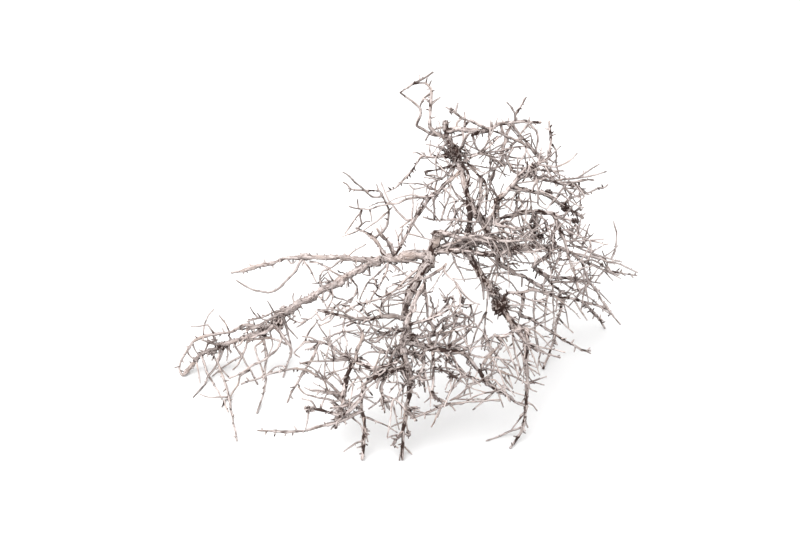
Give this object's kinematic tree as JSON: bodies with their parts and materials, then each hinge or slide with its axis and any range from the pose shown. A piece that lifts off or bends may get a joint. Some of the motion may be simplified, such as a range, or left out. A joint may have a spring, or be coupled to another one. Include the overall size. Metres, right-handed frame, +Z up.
{
  "type": "driftwood branch",
  "caption": "Dry, weathered shrub branch with crooked limbs, knots and a tangle of bare twigs, resting on its twig tips.",
  "frame": {"origin": "on the surface that the branch lies on, under the middle of its bounding box", "axes": "+X along its longest reach, from the long left limb to the right twigs; +Y away from the viewer; +Z up"},
  "size_m": [0.608, 0.3795, 0.3597],
  "materials": {
    "weathered_wood": "bare, sun-bleached grey-brown bark and wood, matt"
  },
  "bodies": {
    "root": {"branch": "weathered_wood"}
  },
  "joints": []
}
